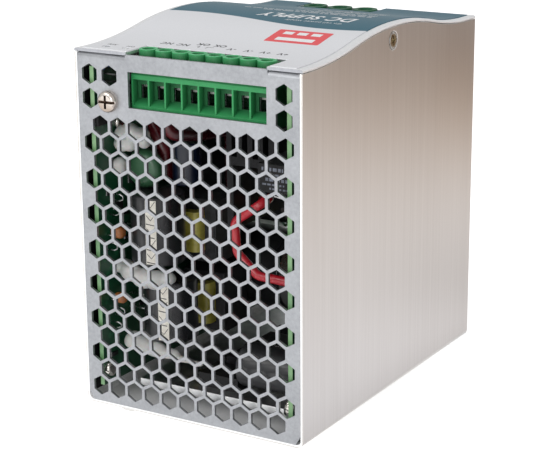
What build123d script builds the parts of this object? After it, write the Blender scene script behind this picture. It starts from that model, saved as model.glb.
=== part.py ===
from build123d import *
import os
from math import sin, cos, atan, pi, radians

os.makedirs("parts", exist_ok=True)

# ---------------------------------------------------------------- driving dimensions (mm)
CASE_W = 85.5          # X, across the perforated ends
CASE_L = 125.2         # Y, output end to input end
CASE_D = 128.5         # Z, back wall to the crest of the front cover
END_H = 122.5          # height of the flat ends of the front cover
FLAT_Y = 5.0           # length of each flat end of the cover
T = 1.0                # sheet thickness
BEND_R = 2.5           # outer radius of the back bends
GAP = 0.25             # seam between cover and side walls
CLIP_H = 8.0           # clip height below the back wall
HEX_AF = 5.95          # hexagon hole, across flats
HEX_PITCH = 7.0
ROW_PITCH = 6.062
ROWS = 16
ROW_TOP = 97.6
POLE = 6.35            # output terminal pitch
POLES = 8
OUT_X0 = 20.7          # left face of the output terminal block
IN_POLE = 10.5         # input terminal pitch
IN_POLES = 3
IN_X0 = 18.05
SCREW_PITCH = 0.5      # M3 terminal screws
CLAMP_RISE = 3.0
SCREW_Y_IN = 7.6       # clamp screws, behind the end plate
RAIL_W = 35.0          # top-hat rail, across the flanges
RAIL_T = 1.0
LATCH_TRAVEL = 3.5

# origin: centre of the case in X and Y, on the plane of the clip's lowest faces
ORG = Location((-CASE_W / 2, -CASE_L / 2, CLIP_H))


def bx(x0, x1, y0, y1, z0, z1):
    return Pos((x0 + x1) / 2, (y0 + y1) / 2, (z0 + z1) / 2) * Box(x1 - x0, y1 - y0, z1 - z0)


def cz(x, y, z0, z1, r):
    return Pos(x, y, (z0 + z1) / 2) * Cylinder(r, z1 - z0)


def cy(x, z, y0, y1, r):
    return Pos(x, (y0 + y1) / 2, z) * Rot(90, 0, 0) * Cylinder(r, y1 - y0)


def cx(y, z, x0, x1, r):
    return Pos((x0 + x1) / 2, y, z) * Rot(0, 90, 0) * Cylinder(r, x1 - x0)


def out(name, *shapes, loc=ORG):
    solids = []
    for s in shapes:
        solids += list(s.solids())
    moved = [s.moved(loc) for s in solids]
    export_step(moved[0] if len(moved) == 1 else Compound(moved), f"parts/{name}.step")


# ---------------------------------------------------------------- the S-curved profile
RISE = CASE_D - END_H
RUN = CASE_L / 2 - FLAT_Y
TH = 2 * atan(RISE / RUN)
RAD = RUN / sin(TH) / 2
MID = CASE_L / 2


def profile_edges(off):
    """Edges of the cover's section at an offset along its normal, from Y=0 to Y=L, in the plane X=0."""
    r1, r2 = RAD - off, RAD + off
    c1 = (FLAT_Y, END_H + RAD)
    c2 = (MID, CASE_D - RAD)

    def v(p):
        return Vector(0, p[0], p[1])

    def mir(p):
        return (CASE_L - p[0], p[1])

    p0, p1 = (0, END_H + off), (FLAT_Y, END_H + off)
    m1 = (c1[0] + r1 * sin(TH / 2), c1[1] - r1 * cos(TH / 2))
    p2 = (c2[0] - r2 * sin(TH), c2[1] + r2 * cos(TH))
    top = (MID, CASE_D + off)
    return [
        Line(v(p0), v(p1)),
        ThreePointArc(v(p1), v(m1), v(p2)),
        ThreePointArc(v(p2), v(top), v(mir(p2))),
        ThreePointArc(v(mir(p2)), v(mir(m1)), v(mir(p1))),
        Line(v(mir(p1)), v(mir(p0))),
    ]


def strip(off_top, off_low, x0, x1):
    """Sheet between two offsets of the profile, from x0 to x1."""
    a, b = profile_edges(off_top), profile_edges(off_low)
    ends = [
        Line(Vector(0, 0, END_H + off_low), Vector(0, 0, END_H + off_top)),
        Line(Vector(0, CASE_L, END_H + off_low), Vector(0, CASE_L, END_H + off_top)),
    ]
    face = Face(Wire(a + b + ends))
    return Pos(x0, 0, 0) * extrude(face, amount=x1 - x0, dir=(1, 0, 0))


def above(off, x0, x1, top=160):
    """Everything above an offset of the profile, as a cutter."""
    a = profile_edges(off)
    e = [
        Line(Vector(0, 0, END_H + off), Vector(0, 0, top)),
        Line(Vector(0, 0, top), Vector(0, CASE_L, top)),
        Line(Vector(0, CASE_L, top), Vector(0, CASE_L, END_H + off)),
    ]
    return Pos(x0, 0, 0) * extrude(Face(Wire(a + e)), amount=x1 - x0, dir=(1, 0, 0))


# ---------------------------------------------------------------- side and back shell
SCREW_Y, SCREW_Z = 60.0, 122.8
outer = Plane.XZ * (Pos(CASE_W / 2, 75) * RectangleRounded(CASE_W, 150, BEND_R))
inner = Plane.XZ * (Pos(CASE_W / 2, 75) * RectangleRounded(CASE_W - 2 * T, 150 - 2 * T, BEND_R - T))
shell = extrude(outer, amount=-CASE_L) - extrude(inner, amount=-CASE_L)
shell -= above(-T - GAP, -5, CASE_W + 5, 200)
CLIP_HOLES = [(CASE_W / 2 + sx, MID + sy) for sx in (-17.0, 17.0) for sy in (-10.0, 12.0)]
for x, y in CLIP_HOLES:
    shell -= cz(x, y, -1, 2, 1.6)
for side in (0, 1):
    xo = CASE_W if side else 0.0
    s = 1 if side else -1
    shell -= cx(SCREW_Y, SCREW_Z, min(xo - s * 2, xo + s), max(xo - s * 2, xo + s), 1.7)
    cone = Pos(xo - s * 0.5, SCREW_Y, SCREW_Z) * Rot(0, 90 * s, 0) * Cone(2.2, 3.25, 1.0)
    shell -= cone
# half-sheared locating dimple under the output edge
shell += bx(14.5, 19.5, 0.0, 4.0, -0.55, 0.2) & cy(17.0, 5.2, 0.0, 4.0, 5.9)
out("side_back_shell", shell)

# ---------------------------------------------------------------- front cover and its label
OUT_NOTCH = (20.5, 73.0, 12.0)
IN_NOTCH = (18.7, 49.5, 112.2)
POT = (8.6, 6.0)
LED = (16.4, 6.0)
cover = strip(0, -T, 0, CASE_W)
cover -= bx(OUT_NOTCH[0], OUT_NOTCH[1], -1, OUT_NOTCH[2], 110, 135)
cover -= bx(IN_NOTCH[0], IN_NOTCH[1], IN_NOTCH[2], CASE_L + 1, 110, 135)
cover -= cz(POT[0], POT[1], 115, 130, 1.4)
cover -= cz(LED[0], LED[1], 115, 130, 1.15)
edges = [e for e in cover.edges()
         if (abs(e.bounding_box().max.X - e.bounding_box().min.X) < 1e-4)
         and (abs(e.center().X) < 1e-3 or abs(e.center().X - CASE_W) < 1e-3)
         and e.length > 4]
zs = {}
top_edges = []
for e in edges:
    p = e @ 0.5
    # keep the upper edge of each pair
    ref = strip(0.05, -0.05, -1, CASE_W + 1)
    if ref.is_inside(Vector(min(max(p.X, 0.001), CASE_W - 0.001), p.Y, p.Z)):
        top_edges.append(e)
cover = fillet(top_edges, 0.7)
tabs = []
for side in (0, 1):
    x0 = T if side == 0 else CASE_W - 2 * T
    tab = bx(x0, x0 + T, 53, 67, 118.0, 130) - above(-T, -5, CASE_W + 5, 200)
    tab -= cx(SCREW_Y, SCREW_Z, x0 - 0.5, x0 + 1.5, 1.3)
    cover += tab
out("front_cover", cover)

label = strip(0.2, 0.0, 2.6, CASE_W - 2.6)
label -= bx(-1, 90, -1, 1.2, 100, 140)
label -= bx(-1, 90, CASE_L - 1.2, CASE_L + 1, 100, 140)
label -= bx(OUT_NOTCH[0] - 0.5, OUT_NOTCH[1] + 0.5, -1, OUT_NOTCH[2] + 0.5, 100, 140)
label -= bx(IN_NOTCH[0] - 0.5, IN_NOTCH[1] + 0.5, IN_NOTCH[2] - 0.5, CASE_L + 1, 100, 140)
label -= cz(POT[0], POT[1], 115, 130, 1.6)
label -= cz(LED[0], LED[1], 115, 130, 1.35)
out("front_label", label)

# countersunk M3 screws through the side walls into the cover's tabs
ss = []
for side in (0, 1):
    xo = CASE_W if side else 0.0
    s = 1 if side else -1
    head = Pos(xo - s * 0.5, SCREW_Y, SCREW_Z) * Rot(0, 90 * s, 0) * Cone(1.9, 2.95, 0.9)
    a, b = sorted((xo - s * 0.9, xo - s * 5.0))
    body = cx(SCREW_Y, SCREW_Z, a, b, 1.25)
    sc = head + body
    a, b = sorted((xo - s * 0.55, xo + s * 0.2))
    slot = bx(a, b, SCREW_Y - 1.5, SCREW_Y + 1.5, SCREW_Z - 0.3, SCREW_Z + 0.3)
    slot += bx(a, b, SCREW_Y - 0.3, SCREW_Y + 0.3, SCREW_Z - 1.5, SCREW_Z + 1.5)
    ss.append(sc - slot)
out("side_screws", *ss)


# ---------------------------------------------------------------- perforated end plates
def hexagon(x, z, af=HEX_AF):
    r = af / 2 / cos(pi / 6)
    pts = [Vector(x + r * cos(pi / 6 + k * pi / 3), 0, z + r * sin(pi / 6 + k * pi / 3)) for k in range(6)]
    return Wire.make_polygon(pts, close=True)


def hole_centres():
    c = []
    for k in range(ROWS):
        x0 = 9.5 if k % 2 == 0 else 6.0
        for i in range(11):
            c.append((x0 + HEX_PITCH * i, ROW_TOP - ROW_PITCH * k))
    return c


def end_plate(window, extra, screw, gap):
    """Plate in the plane Y=0..T with its front flange turned inward over all but the terminal gap."""
    x0, x1, z0, z1 = T + 0.05, CASE_W - T - 0.05, T + 0.05, 119.5
    rim = [(x0, z1), (x0, z0 + 3.1), (x0 + 1.8, z0), (x1 - 1.8, z0), (x1, z0 + 3.1), (x1, z1)]
    outline = Wire.make_polygon([Vector(x, 0, z) for x, z in rim], close=True)
    wx0, wx1, wz0, wz1 = window
    win = Wire.make_polygon([Vector(wx0, 0, wz0), Vector(wx1, 0, wz0), Vector(wx1, 0, wz1), Vector(wx0, 0, wz1)], close=True)
    sc = Wire.make_circle(2.2, Plane(origin=(screw[0], 0, screw[1]), z_dir=(0, 1, 0)))
    inner_wires = [hexagon(x, z) for x, z in hole_centres() + extra] + [win, sc]
    face = Face(outline, inner_wires)
    plate = extrude(face, amount=T, dir=(0, 1, 0))
    for a, b in ((x0, gap[0] - 0.2), (gap[1] + 0.2, x1)):
        sec = Wire([
            Line(Vector(0, 0, 119.5), Vector(0, 0, 119.8)),
            ThreePointArc(Vector(0, 0, 119.8), Vector(0, 1.4 - 1.4 * cos(pi / 4), 119.8 + 1.4 * sin(pi / 4)), Vector(0, 1.4, 121.2)),
            Line(Vector(0, 1.4, 121.2), Vector(0, 3.0, 121.2)),
            Line(Vector(0, 3.0, 121.2), Vector(0, 3.0, 120.2)),
            Line(Vector(0, 3.0, 120.2), Vector(0, 1.4, 120.2)),
            ThreePointArc(Vector(0, 1.4, 120.2), Vector(0, 1.4 - 0.4 * cos(pi / 4), 119.8 + 0.4 * sin(pi / 4)), Vector(0, 1.0, 119.8)),
            Line(Vector(0, 1.0, 119.8), Vector(0, 1.0, 119.5)),
            Line(Vector(0, 1.0, 119.5), Vector(0, 0, 119.5)),
        ])
        plate += Pos(a, 0, 0) * extrude(Face(sec), amount=b - a, dir=(1, 0, 0))
    plate += bx(gap[0] - 0.25, gap[1] + 0.25, 0, T, 119.4, 121.7)
    for xa in (x0 - 0.05, x1 - T + 0.05):
        plate += bx(xa, xa + T, T - 0.5, 4.0, 20.0, 95.0)
    return plate


OUT_WIN = (21.0, 72.8, 104.5, 116.27)
OUT_EXTRA = [(5.8, 114.33), (13.67, 114.33), (5.8, 106.33), (79.0, 114.33), (79.0, 106.33)]
OUT_SCREW = (13.3, 106.0)
out("output_end_plate", end_plate(OUT_WIN, OUT_EXTRA, OUT_SCREW, OUT_NOTCH))

# the input plate is drawn as seen from outside (X mirrored), then turned about the case's middle
IN_WIN = (CASE_W - 50.0, CASE_W - 18.2, 104.5, 116.27)
IN_EXTRA = [(5.8 + 7.4 * i, 114.33) for i in range(4)] + [(5.8 + 7.4 * i, 106.33) for i in (0, 2, 3)] + \
    [(72.7, 114.33), (79.7, 114.33), (72.7, 106.33), (79.7, 106.33)]
IN_SCREW = (13.2, 106.0)
HALF_TURN = Pos(CASE_W, CASE_L, 0) * Rot(0, 0, 180)
input_plate = HALF_TURN * end_plate(IN_WIN, IN_EXTRA, IN_SCREW, (CASE_W - IN_NOTCH[1], CASE_W - IN_NOTCH[0]))
out("input_end_plate", input_plate)


def pan_screw():
    """M4 pan head with a combined slot and cross, head outward along -Y, at X=0, Z=0."""
    head = cy(0, 0, -2.2, 0.0, 3.6)
    head = fillet(head.edges().filter_by(GeomType.CIRCLE).sort_by(Axis.Y)[0], 1.5)
    body = cy(0, 0, -0.1, 7.0, 1.98)
    s = head + body
    s -= bx(-4, 4, -3, -1.3, -0.45, 0.45)
    s -= bx(-0.45, 0.45, -3, -1.0, -2.2, 2.2)
    return s


def hex_nut():
    r = 3.5 / cos(pi / 6)
    w = Wire.make_polygon([Vector(r * cos(k * pi / 3), 0, r * sin(k * pi / 3)) for k in range(6)], close=True)
    return extrude(Face(w), amount=3.2, dir=(0, 1, 0)) - cy(0, 0, -1, 5, 2.04)


out("end_plate_screws", Pos(OUT_SCREW[0], 0, OUT_SCREW[1]) * pan_screw(),
    HALF_TURN * (Pos(IN_SCREW[0], 0, IN_SCREW[1]) * pan_screw()))
out("end_plate_nuts", Pos(OUT_SCREW[0], T, OUT_SCREW[1]) * hex_nut(),
    HALF_TURN * (Pos(IN_SCREW[0], T, IN_SCREW[1]) * hex_nut()))


# ---------------------------------------------------------------- screw terminals
def terminal(x0, n, pitch, head_r, z_top, axis_y, body_top):
    """Housing (block, towers, wire cells, clamp chambers), current bars, clamps and screws of one block."""
    wall = 0.6
    w = n * pitch
    body = bx(x0, x0 + w + wall, 2.4, 14.0, 101.5, body_top)
    body += bx(x0 + 0.6, x0 + w + wall - 0.6, 4.9, 11.3, body_top - 0.5, 118.2)
    centres = [x0 + wall / 2 + pitch * (i + 0.5) for i in range(n)]
    half = pitch / 2
    cutters, bars, clamps, screws = [], [], [], []
    ch = half - 0.62                      # chamber half width
    cg = ch - 0.25                        # clamp half width
    slot = min(head_r * 0.85, 1.7 if pitch < 8 else 2.4)
    for xc in centres:
        body += cz(xc, axis_y, 115.0, z_top, min(half - 0.08, 4.5))
        body += bx(xc - half + 0.45, xc + half - 0.45, axis_y, 11.3, 115.0, z_top - 0.8)
    for xc in centres:
        # flared wire cell with a sloped lip, open towards -Y
        cell = bx(xc - half + 0.32, xc + half - 0.32, 2.0, 5.3, 104.9, 113.6)
        lip = Wire.make_polygon([Vector(xc - half, 2.3, 104.0), Vector(xc - half, 2.3, 105.0), Vector(xc - half, 5.5, 107.1),
                                 Vector(xc - half, 5.5, 104.0)], close=True)
        cell -= extrude(Face(lip), amount=pitch, dir=(1, 0, 0))
        cutters.append(cell)
        cutters.append(bx(xc - slot, xc + slot, 5.0, 6.4, 107.1, 111.6))       # wire hole
        cutters.append(bx(xc - ch, xc + ch, 5.8, 10.4, 105.4, 116.0))          # clamp chamber
        cutters.append(cz(xc, axis_y, 115.5, 118.0, 1.45))                     # neck under the screw head
        cutters.append(cz(xc, axis_y, 117.0, z_top + 1, head_r))               # screwdriver access
        cutters.append(bx(xc - 1.35, xc + 1.35, 10.2, 15.0, 110.65, 111.45))   # bar outlet
        bars.append(bx(xc - 1.3, xc + 1.3, 6.2, 17.6, 110.7, 111.4))
        cage = bx(xc - cg, xc + cg, 6.0, 10.2, 105.7, 112.8)
        cage -= bx(xc - cg + 0.75, xc + cg - 0.75, 5.0, 11.0, 106.8, 111.5)
        cage -= cz(xc, axis_y, 111.0, 113.5, 1.28)
        clamps.append(cage)
        sc = cz(xc, axis_y, 111.5, 117.3, 1.22) + cz(xc, axis_y, 117.0, 119.2, head_r - 0.12)
        sc -= bx(xc - head_r, xc + head_r, axis_y - 0.35, axis_y + 0.35, 118.2, 120)
        screws.append(sc)
    # sloped upper edge over the wire cells
    slope = Wire.make_polygon([Vector(x0 - 1, 2.3, 115.0), Vector(x0 - 1, 2.3, 117.3), Vector(x0 - 1, 5.3, 117.3)], close=True)
    cutters.append(extrude(Face(slope), amount=w + wall + 2, dir=(1, 0, 0)))
    for c in cutters:
        body -= c
    return body, bars, clamps, screws, centres


house, bars, clamps, screws, OUT_C = terminal(OUT_X0, POLES, POLE, 2.05, 123.0, SCREW_Y_IN, 117.2)
out("output_terminal_housing", house)
out("output_terminal_bars", *bars)
for i in range(POLES):
    out(f"output_clamp_{i + 1}", clamps[i])
    out(f"output_clamp_screw_{i + 1}", screws[i])
print("output poles X", [round(c - CASE_W / 2, 3) for c in OUT_C])

house2, bars2, clamps2, screws2, IN_C = terminal(CASE_W - IN_X0 - IN_POLES * IN_POLE - 0.6, IN_POLES, IN_POLE, 2.8, 122.9, SCREW_Y_IN, 117.2)
out("input_terminal_housing", HALF_TURN * house2)
out("input_terminal_bars", *[HALF_TURN * b for b in bars2])
for i in range(IN_POLES):
    out(f"input_clamp_{i + 1}", HALF_TURN * clamps2[i])
    out(f"input_clamp_screw_{i + 1}", HALF_TURN * screws2[i])
print("input poles X", [round(CASE_W / 2 - c, 3) for c in IN_C])

# ---------------------------------------------------------------- boards
LB = (4.4, 6.0)
RB = (78.9, 80.5)
FIX = [(5.0, 11.5), (118.5, 11.5), (14.5, 96.0), (110.0, 96.0)]


def board(x0, x1, top):
    b = bx(x0, x1, 2.0, CASE_L - 2.0, 6.0, top)
    for y, z in FIX:
        b -= cx(y, z, x0 - 1, x1 + 1, 1.35)
    return b


out("left_board", board(*LB, 116.5))
out("right_board", board(*RB, 118.0))
# the upright board behind the output terminals takes their bars
tb = bx(OUT_X0 - 6.0, OUT_X0 + POLES * POLE + 2.0, 14.6, 16.2, 101.0, 117.0)
for xc in OUT_C:
    tb -= bx(xc - 1.35, xc + 1.35, 14, 17, 110.6, 111.5)
tb2 = bx(IN_X0 - 2, IN_X0 + IN_POLES * IN_POLE + 10.0, CASE_L - 16.2, CASE_L - 14.6, 101.0, 117.0)
for xc in IN_C:
    tb2 -= bx(CASE_W - xc - 1.35, CASE_W - xc + 1.35, CASE_L - 17, CASE_L - 14, 110.6, 111.5)
out("terminal_boards", tb, tb2)

spacers, bscrews = [], []
for y, z in FIX:
    spacers.append(cx(y, z, T, LB[0], 2.5) - cx(y, z, 1.8, 6, 1.3))
    spacers.append(cx(y, z, RB[1], CASE_W - T, 2.5) - cx(y, z, 79, CASE_W - 1.8, 1.3))
    for s, xa, xb in ((1, LB[1], 2.2), (-1, RB[0], CASE_W - 2.2)):
        a, b = sorted((xa, xa + s * 2.0))
        head = cx(y, z, a, b, 2.8)
        e = head.edges().filter_by(GeomType.CIRCLE).sort_by(Axis.X)
        head = fillet(e[-1] if s > 0 else e[0], 1.1)
        a, b = sorted((xa, xb))
        bscrews.append(head + cx(y, z, a, b, 1.25))
out("board_spacers", *spacers)
out("board_screws", *bscrews)

ins = []
for x0 in (2.1, CASE_W - 2.5):
    sh = bx(x0, x0 + 0.4, 1.5, CASE_L - 1.5, 4.0, 116.0)
    for y, z in FIX:
        sh -= cx(y, z, x0 - 1, x0 + 1, 2.9)
    ins.append(sh)
out("side_insulators", *ins)

# ---------------------------------------------------------------- heat sinks and power devices
spreader = bx(17.0, 74.0, 7.5, CASE_L - 7.5, 6.4, 9.0)
spreader += bx(17.0, 19.6, 24.0, CASE_L - 24.0, T, 6.5) + bx(71.4, 74.0, 24.0, CASE_L - 24.0, T, 6.5)
out("heat_spreader", spreader)
sink = bx(44.0, 62.0, 22.0, 104.0, 84.0, 87.0)
for k in range(5):
    sink += bx(44.0 + k * 4.0, 46.0 + k * 4.0, 22.0, 104.0, 86.5, 96.0)
sink += bx(44.0, 46.5, 22.0, 104.0, 62.0, 84.5)
out("heatsink", sink)
devs = []
for k in range(6):
    y = 12.0 + 17.5 * k
    devs.append(bx(38.0, 53.5, y, y + 12.0, 9.0, 13.7) + bx(34.0, 38.2, y + 4, y + 8, 10.9, 11.5))
out("power_transistors", *devs)


# ---------------------------------------------------------------- wound parts and capacitors
def ee_core(x0, x1, y0, y1, z0, z1, leg, yoke, cl):
    c = bx(x0, x1, y0, y1, z0, z1) - bx(x0 + leg, x1 - leg, y0 - 1, y1 + 1, z0 + yoke, z1 - yoke)
    xm = (x0 + x1) / 2
    return c + bx(xm - cl / 2, xm + cl / 2, y0, y1, z0 + yoke - 0.1, z1 - yoke + 0.1)


def ee_winding(x0, x1, y0, y1, z0, z1, leg, yoke, cl, proud):
    xm = (x0 + x1) / 2
    w = bx(x0 + leg + 0.2, x1 - leg - 0.2, y0 - proud, y1 + proud, z0 + yoke + 0.2, z1 - yoke - 0.2)
    w = fillet(w.edges().filter_by(Axis.Z), 2.4)
    return w - bx(xm - cl / 2 - 0.1, xm + cl / 2 + 0.1, y0 - 0.1, y1 + 0.1, z0, z1)


TR = [
    (14.0, 34.0, 30.3, 46.3, 46.0, 68.4, 4.7, 4.0, 4.2, 4.0),     # main transformer
    (15.8, 32.8, 37.0, 52.0, 19.0, 40.5, 3.9, 3.2, 4.0, 4.0),     # resonant choke
    (52.0, 76.0, 66.0, 84.0, 40.0, 66.0, 5.0, 4.5, 5.0, 4.5),     # power factor choke
]
out("taped_windings", *[ee_winding(*t) for t in TR])


def toroid(x, y, z, ro, ri, h, axis):
    c = Cylinder(ro, h) - Cylinder(ri, h + 2)
    c = fillet(c.edges().filter_by(GeomType.CIRCLE), min(1.0, (ro - ri) / 4))
    r = Rot(0, 90, 0) if axis == "X" else Rot(90, 0, 0)
    return Pos(x, y, z) * r * c


def toroid_wrap(x, y, z, ro, ri, h, wire, axis):
    c = Cylinder(ro + wire, h + 2 * wire) - Cylinder(ri - wire, h + 4 * wire) - (Cylinder(ro + 0.05, h + 0.1) - Cylinder(ri - 0.05, h + 1))
    r = Rot(0, 90, 0) if axis == "X" else Rot(90, 0, 0)
    return Pos(x, y, z) * r * c


# line choke (ring) at the input end
out("ferrite_cores", *[ee_core(*t[:9]) for t in TR], toroid(65.4, 100.0, 33.0, 11.5, 6.0, 11.0, "Y"))
# dipped disc stands behind the adhesive at the output end
disc = Cylinder(6.8, 6.5)
disc = fillet(disc.edges().filter_by(GeomType.CIRCLE), 2.9)
out("green_dipped_disc", Pos(13.9, 18.5, 80.1) * Rot(90, 0, 0) * disc)
out("toroid_windings", toroid_wrap(65.4, 100.0, 33.0, 11.5, 6.0, 11.0, 1.4, "Y"))


def can(x, y, z0, z1, r, axis="Z"):
    c = Cylinder(r, z1 - z0)
    c = fillet(c.edges().filter_by(GeomType.CIRCLE), 0.8)
    return Pos(x, y, (z0 + z1) / 2) * c


def can_x(y, z, x0, x1, r):
    c = Cylinder(r, x1 - x0)
    c = fillet(c.edges().filter_by(GeomType.CIRCLE), 0.9)
    return Pos((x0 + x1) / 2, y, z) * Rot(0, 90, 0) * c


out("output_capacitors", can(19.6, 16.8, 49.0, 73.0, 9.2), can(23.6, 17.6, 22.6, 43.6, 9.2),
    can(24.9, 27.1, 74.0, 88.7, 5.0), can_x(13.5, 19.6, 56.0, 78.8, 7.4))
out("bulk_capacitors", can_x(74.0, 33.0, 6.2, 41.0, 15.0), can_x(74.0, 66.0, 6.2, 41.0, 15.0))
def dipped(*box):
    b = bx(*box)
    return fillet(b.edges(), 1.6)


out("film_capacitors", bx(60.0, 78.7, 104.0, 114.0, 66.0, 84.0), bx(62.0, 78.7, 106.0, 114.5, 50.0, 62.0),
    dipped(7.2, 12.2, 5.6, 9.4, 57.6, 61.6), dipped(7.6, 12.4, 5.6, 9.2, 34.8, 38.4))
out("relay", bx(65.6, 78.8, 6.0, 26.0, 81.2, 90.6))
fuse = cy(13.0, 88.0, 92.0, 112.0, 2.6) + cy(13.0, 88.0, 92.0, 97.0, 3.1) + cy(13.0, 88.0, 107.0, 112.0, 3.1)
fuse += bx(6.1, 11.0, 93.0, 96.0, 87.0, 89.0) + bx(6.1, 11.0, 108.0, 111.0, 87.0, 89.0)
out("input_fuse", fuse)


def lead(points, radii, r):
    path = FilletPolyline(*points, radius=radii)
    pl = Plane(origin=path @ 0, z_dir=path % 0)
    return sweep(pl * Circle(r), path=path)


out("red_leads",
    lead([(48.5, 37, 69.0), (66.6, 12.5, 77.8), (53.2, 11.8, 68.2), (54.2, 11.6, 58.0), (62.0, 11.8, 51.2), (78.3, 12.5, 50.4)], 3.6, 1.5),
    lead([(6.2, 25.0, 96.6), (11.6, 25.0, 96.6), (16.9, 25.4, 84.8), (16.9, 26.6, 75.0)], 3.0, 2.3),
    lead([(21.4, 18.7, 99.5), (24.4, 19.2, 92.4), (31.0, 27.0, 91.6), (34.0, 40.0, 91.4), (34.0, 41.0, 71.0)], 3.0, 2.2))

# ---------------------------------------------------------------- trimmer and status light
tbody = bx(6.0, 11.2, 3.5, 8.5, 116.6, 120.9) - cz(POT[0], POT[1], 118.4, 122, 1.66)
tbody += bx(6.0, 6.4, 4.5, 7.5, 114.4, 116.7)
out("trimmer_body", tbody)
rotor = cz(POT[0], POT[1], 118.5, 121.3, 1.6) - bx(POT[0] - 1.1, POT[0] + 1.1, POT[1] - 0.3, POT[1] + 0.3, 120.5, 122)
rotor -= bx(POT[0] - 0.3, POT[0] + 0.3, POT[1] - 1.1, POT[1] + 1.1, 120.5, 122)
out("trimmer_rotor", rotor)
led = cz(LED[0], LED[1], 117.6, 121.7, 1.0) + Pos(LED[0], LED[1], 121.7) * Sphere(1.0) + cz(LED[0], LED[1], 117.2, 118.0, 1.6)
led += bx(LED[0] - 1.5, LED[0] - 1.0, LED[1] - 0.25, LED[1] + 0.25, 113.4, 117.3) + bx(6.0, LED[0] - 1.0, LED[1] - 0.25, LED[1] + 0.25, 113.4, 113.9)
led += bx(LED[0] + 1.0, LED[0] + 1.5, LED[1] - 0.25, LED[1] + 0.25, 111.0, 117.3) + bx(6.0, LED[0] + 1.5, LED[1] - 0.25, LED[1] + 0.25, 111.0, 111.5)
out("status_led", led)

# ---------------------------------------------------------------- clip for the mounting rail (own coordinates: case centre, Z=0 lowest)
HERE = Location((0, 0, 0))
RZ = 3.2                                   # plane that the rail's flanges rest on
half = RAIL_W / 2
base = bx(-22, 22, -21.5, 31, RZ, CLIP_H)
base += bx(-22, 22, -21.5, -half - 0.3, 0, RZ + 0.1)                  # wall of the fixed hook
base += bx(-22, 22, -half - 0.4, -half + 2.8, 0, 1.7)                 # its lip
for s in (-1, 1):
    base += bx(min(s * 14.5, s * 22), max(s * 14.5, s * 22), half + 2.5, 31, 0, RZ + 0.1)   # feet beside the latch
base = chamfer(base.edges().filter_by(Axis.X).group_by(Axis.Z)[0].sort_by(Axis.Y)[0], 1.2)
base -= bx(-13.4, 13.4, 1.5, 33, RZ - 1, 5.6)                         # latch channel
base -= bx(-15.0, 15.0, 1.5, 33, 4.0, 5.2)                            # its side grooves
base -= bx(-2.0, 2.0, 4.6, 18.2, 5.0, 6.9)                            # room for the spring
base += bx(-1.8, 1.8, 18.0, 19.6, 3.4, 6.0)                           # spring post
for x, y in CLIP_HOLES:
    base -= cz(x - CASE_W / 2, y - MID, 0, 9, 1.7)
    base -= Pos(x - CASE_W / 2, y - MID, RZ + 0.75) * Cone(3.2, 1.7, 1.5)
out("din_clip_base", base, loc=HERE)

cs = []
for x, y in CLIP_HOLES:
    s = Pos(x - CASE_W / 2, y - MID, RZ + 0.85) * Cone(3.0, 1.5, 1.5) + cz(x - CASE_W / 2, y - MID, RZ + 1.5, CLIP_H + 3.5, 1.48)
    s -= bx(x - CASE_W / 2 - 1.6, x - CASE_W / 2 + 1.6, y - MID - 0.3, y - MID + 0.3, RZ - 1, RZ + 0.7)
    s -= bx(x - CASE_W / 2 - 0.3, x - CASE_W / 2 + 0.3, y - MID - 1.6, y - MID + 1.6, RZ - 1, RZ + 0.7)
    cs.append(s)
out("din_clip_screws", *cs, loc=HERE)

latch = bx(-13.1, 13.1, 5.0 - 3.0, 36.0, 3.5, 5.4)                    # slide plate
latch += bx(-14.75, 14.75, 3.0, 30.0, 4.15, 5.05)                     # tongues in the grooves
latch += bx(-13.1, 13.1, half + 0.2, 21.2, 0.15, 3.6)                 # wall of the moving hook
lipw = Wire.make_polygon([Vector(-13.1, half + 0.3, 0.15), Vector(-13.1, half + 0.3, 1.75), Vector(-13.1, half - 2.4, 1.75),
                          Vector(-13.1, half - 2.4, 1.2), Vector(-13.1, half - 1.2, 0.15)], close=True)
latch += extrude(Face(lipw), amount=26.2, dir=(1, 0, 0))
latch += bx(-7.0, 7.0, 35.5, 46.0, 3.5, 5.4)                          # pull tab
latch -= bx(-2.1, 2.1, 5.0, 19.9, 3.0, 6.0)                           # spring window
latch -= bx(-3.5, 3.5, 39.5, 42.0, 3.0, 6.0)                          # screwdriver slot in the tab
out("din_latch", latch, loc=HERE)

hel = Helix(pitch=1.55, height=12.3, radius=1.25)
wire_sec = Plane(origin=hel @ 0, z_dir=hel % 0) * Circle(0.24)
spring = sweep(wire_sec, path=hel, is_frenet=True)
spring = Pos(0, 5.3, 5.15) * Rot(-90, 0, 0) * spring
out("din_latch_spring", spring, loc=HERE)
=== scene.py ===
import bpy, bmesh, math, random
import numpy as np
from mathutils import Vector, Matrix


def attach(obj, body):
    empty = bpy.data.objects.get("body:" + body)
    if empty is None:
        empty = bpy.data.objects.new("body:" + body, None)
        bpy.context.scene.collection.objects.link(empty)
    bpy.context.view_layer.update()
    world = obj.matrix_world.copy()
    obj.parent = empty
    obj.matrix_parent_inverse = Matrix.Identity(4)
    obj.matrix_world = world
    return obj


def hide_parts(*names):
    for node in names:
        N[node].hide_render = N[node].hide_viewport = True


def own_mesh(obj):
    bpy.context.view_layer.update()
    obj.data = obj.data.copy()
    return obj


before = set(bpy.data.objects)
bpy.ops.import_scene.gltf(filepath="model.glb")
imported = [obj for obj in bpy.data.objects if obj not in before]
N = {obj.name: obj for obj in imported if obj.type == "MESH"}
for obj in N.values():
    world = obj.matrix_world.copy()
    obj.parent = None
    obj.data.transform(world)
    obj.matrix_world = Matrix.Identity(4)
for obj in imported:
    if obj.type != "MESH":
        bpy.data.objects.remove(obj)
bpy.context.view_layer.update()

random.seed(7)
SC = bpy.context.scene
COL = SC.collection
W, L, CLIP = 85.5, 125.2, 8.0
END_H, CREST, FLAT_Y = 122.5, 128.5, 5.0


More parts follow.
